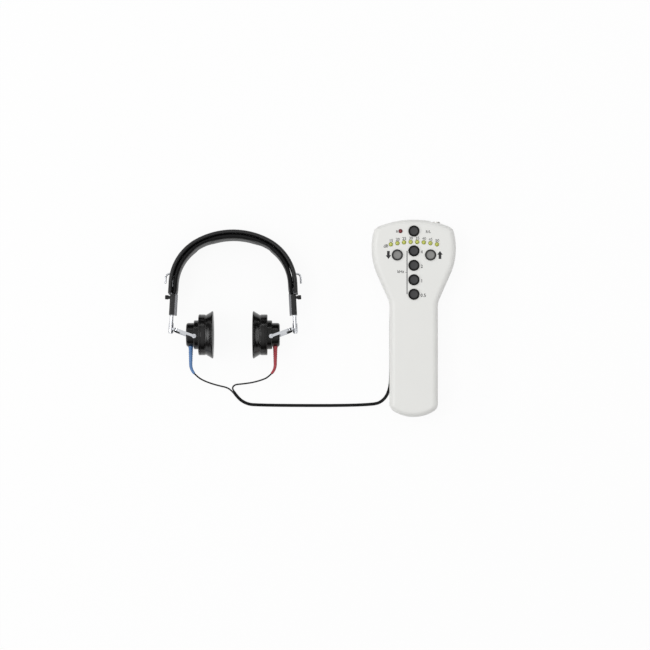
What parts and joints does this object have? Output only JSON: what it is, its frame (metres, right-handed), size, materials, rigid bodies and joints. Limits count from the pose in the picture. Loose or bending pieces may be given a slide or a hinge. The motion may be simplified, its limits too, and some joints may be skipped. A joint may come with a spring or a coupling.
{
  "type": "hand-held audiometer",
  "caption": "Hand-held hearing screener with a wide key head on a slim handle, joined to an overhead headset with two rubber-cushioned earphones.",
  "frame": {"origin": "middle of the unit's flat handle back, level with the middle of the unit's length", "axes": "+Z out of the key face, +Y from the handle to the head, +X to the right as the keys are read; the headset lies on its side at -X"},
  "size_m": [0.3357, 0.227, 0.055],
  "materials": {
    "unit_shell": "fine texture, light grey",
    "board_green": "solder mask",
    "chip_black": "moulded",
    "switch_body": "moulded",
    "lamp_yellow": "diffused yellow lens",
    "lamp_red": "diffused red lens",
    "tinned_leg": "tinned",
    "socket_plastic": "moulded",
    "battery_wrap": "plain steel jacket",
    "snap_plastic": "moulded",
    "wire_sheath": "wire insulation",
    "steel_screw": "zinc plated",
    "key_black": "satin",
    "key_grey": "satin",
    "band_leather": "grained leatherette",
    "band_steel": "polished spring steel",
    "clamp_black": "moulded",
    "chrome_rod": "polished",
    "cushion_rubber": "moulded rubber",
    "driver_can": "satin",
    "cup_plastic": "satin",
    "relief_blue": "ribbed rubber",
    "relief_red": "ribbed rubber",
    "lead_black": "flexible sheath",
    "plug_plastic": "moulded",
    "plug_metal": "nickel plated"
  },
  "bodies": {
    "unit": {"front_shell": "unit_shell", "back_shell": "unit_shell", "circuit_board": "board_green", "board_chips": "chip_black", "key_switches": "switch_body", "level_lamps": "lamp_yellow", "ear_lamp": "lamp_red", "lamp_legs": "tinned_leg", "headset_socket": "socket_plastic", "socket_ring": "socket_plastic", "battery": "battery_wrap", "battery_snap": "snap_plastic", "battery_leads": "wire_sheath", "case_screws": "steel_screw", "board_screws": "steel_screw", "headband_cover": "band_leather", "headband_pad": "band_leather", "headband_spring": "band_steel", "clamp_screws": "steel_screw", "lead_left": "lead_black", "lead_right": "lead_black", "lead_main": "lead_black", "lead_tail": "lead_black", "lead_coil": "lead_black", "plug_body": "plug_plastic", "plug_pin": "plug_metal", "rod_clamp_left": "clamp_black", "rod_clamp_right": "clamp_black"},
    "door": {"battery_door": "unit_shell"},
    "key_ear_cap": {"key_ear": "key_black"},
    "key_4khz_cap": {"key_4khz": "key_black"},
    "key_2khz_cap": {"key_2khz": "key_black"},
    "key_1khz_cap": {"key_1khz": "key_black"},
    "key_500hz_cap": {"key_500hz": "key_black"},
    "key_down_cap": {"key_down": "key_grey"},
    "key_up_cap": {"key_up": "key_grey"},
    "knob_left": {"lock_knob_left": "clamp_black"},
    "slider_left": {"adjuster_rod_left": "chrome_rod"},
    "fork_left": {"yoke_left": "chrome_rod"},
    "cup_left": {"cushion_left": "cushion_rubber", "driver_left": "driver_can", "earphone_case_left": "cup_plastic", "pivot_screws_left": "steel_screw", "cup_cap_left": "cup_plastic", "cord_relief_left": "relief_blue"},
    "knob_right": {"lock_knob_right": "clamp_black"},
    "slider_right": {"adjuster_rod_right": "chrome_rod"},
    "fork_right": {"yoke_right": "chrome_rod"},
    "cup_right": {"cushion_right": "cushion_rubber", "driver_right": "driver_can", "earphone_case_right": "cup_plastic", "pivot_screws_right": "steel_screw", "cup_cap_right": "cup_plastic", "cord_relief_right": "relief_red"}
  },
  "joints": [
    {"name": "battery_door_slide", "type": "slide", "parent": "unit", "child": "door", "axis": [0, -1, 0], "range_m": [0, 0.075]},
    {"name": "key_ear_press", "type": "slide", "parent": "unit", "child": "key_ear_cap", "axis": [0, 0, -1], "range_m": [0, 0.001], "stiffness_N_per_m": 1200, "springref_m": -0.0005},
    {"name": "key_4khz_press", "type": "slide", "parent": "unit", "child": "key_4khz_cap", "axis": [0, 0, -1], "range_m": [0, 0.001], "stiffness_N_per_m": 1200, "springref_m": -0.0005},
    {"name": "key_2khz_press", "type": "slide", "parent": "unit", "child": "key_2khz_cap", "axis": [0, 0, -1], "range_m": [0, 0.001], "stiffness_N_per_m": 1200, "springref_m": -0.0005},
    {"name": "key_1khz_press", "type": "slide", "parent": "unit", "child": "key_1khz_cap", "axis": [0, 0, -1], "range_m": [0, 0.001], "stiffness_N_per_m": 1200, "springref_m": -0.0005},
    {"name": "key_500hz_press", "type": "slide", "parent": "unit", "child": "key_500hz_cap", "axis": [0, 0, -1], "range_m": [0, 0.001], "stiffness_N_per_m": 1200, "springref_m": -0.0005},
    {"name": "key_down_press", "type": "slide", "parent": "unit", "child": "key_down_cap", "axis": [0, 0, -1], "range_m": [0, 0.001], "stiffness_N_per_m": 1200, "springref_m": -0.0005},
    {"name": "key_up_press", "type": "slide", "parent": "unit", "child": "key_up_cap", "axis": [0, 0, -1], "range_m": [0, 0.001], "stiffness_N_per_m": 1200, "springref_m": -0.0005},
    {"name": "lock_knob_turn_left", "type": "hinge", "parent": "unit", "child": "knob_left", "pos_m": [-0.28271, 0.02414, 0.02371], "axis": [-0.9986, 0.0521, -0.0046], "range_deg": [0, 270]},
    {"name": "height_slide_left", "type": "slide", "parent": "unit", "child": "slider_left", "axis": [-0.0523, -0.9948, 0.0875], "range_m": [-0.009, 0.01], "deforming": ["lead_left"]},
    {"name": "yoke_swivel_left", "type": "hinge", "parent": "slider_left", "child": "fork_left", "pos_m": [-0.2794, -0.01175, 0.02686], "axis": [0.0523, 0.9948, -0.0875], "range_deg": [-45, 45], "deforming": ["lead_left"]},
    {"name": "cup_tilt_left", "type": "hinge", "parent": "fork_left", "child": "cup_left", "pos_m": [-0.2521, -0.02199, 0.02776], "axis": [0, 0.0876, 0.9962], "range_deg": [-12, 12], "deforming": ["lead_left"]},
    {"name": "lock_knob_turn_right", "type": "hinge", "parent": "unit", "child": "knob_right", "pos_m": [-0.13309, 0.02414, 0.02371], "axis": [0.9986, 0.0521, -0.0046], "range_deg": [0, 270]},
    {"name": "height_slide_right", "type": "slide", "parent": "unit", "child": "slider_right", "axis": [0.0523, -0.9948, 0.0875], "range_m": [-0.009, 0.01], "deforming": ["lead_right"]},
    {"name": "yoke_swivel_right", "type": "hinge", "parent": "slider_right", "child": "fork_right", "pos_m": [-0.1364, -0.01175, 0.02686], "axis": [-0.0523, 0.9948, -0.0875], "range_deg": [-45, 45], "deforming": ["lead_right"]},
    {"name": "cup_tilt_right", "type": "hinge", "parent": "fork_right", "child": "cup_right", "pos_m": [-0.1637, -0.02199, 0.02776], "axis": [0, 0.0876, 0.9962], "range_deg": [-12, 12], "deforming": ["lead_right"]}
  ]
}
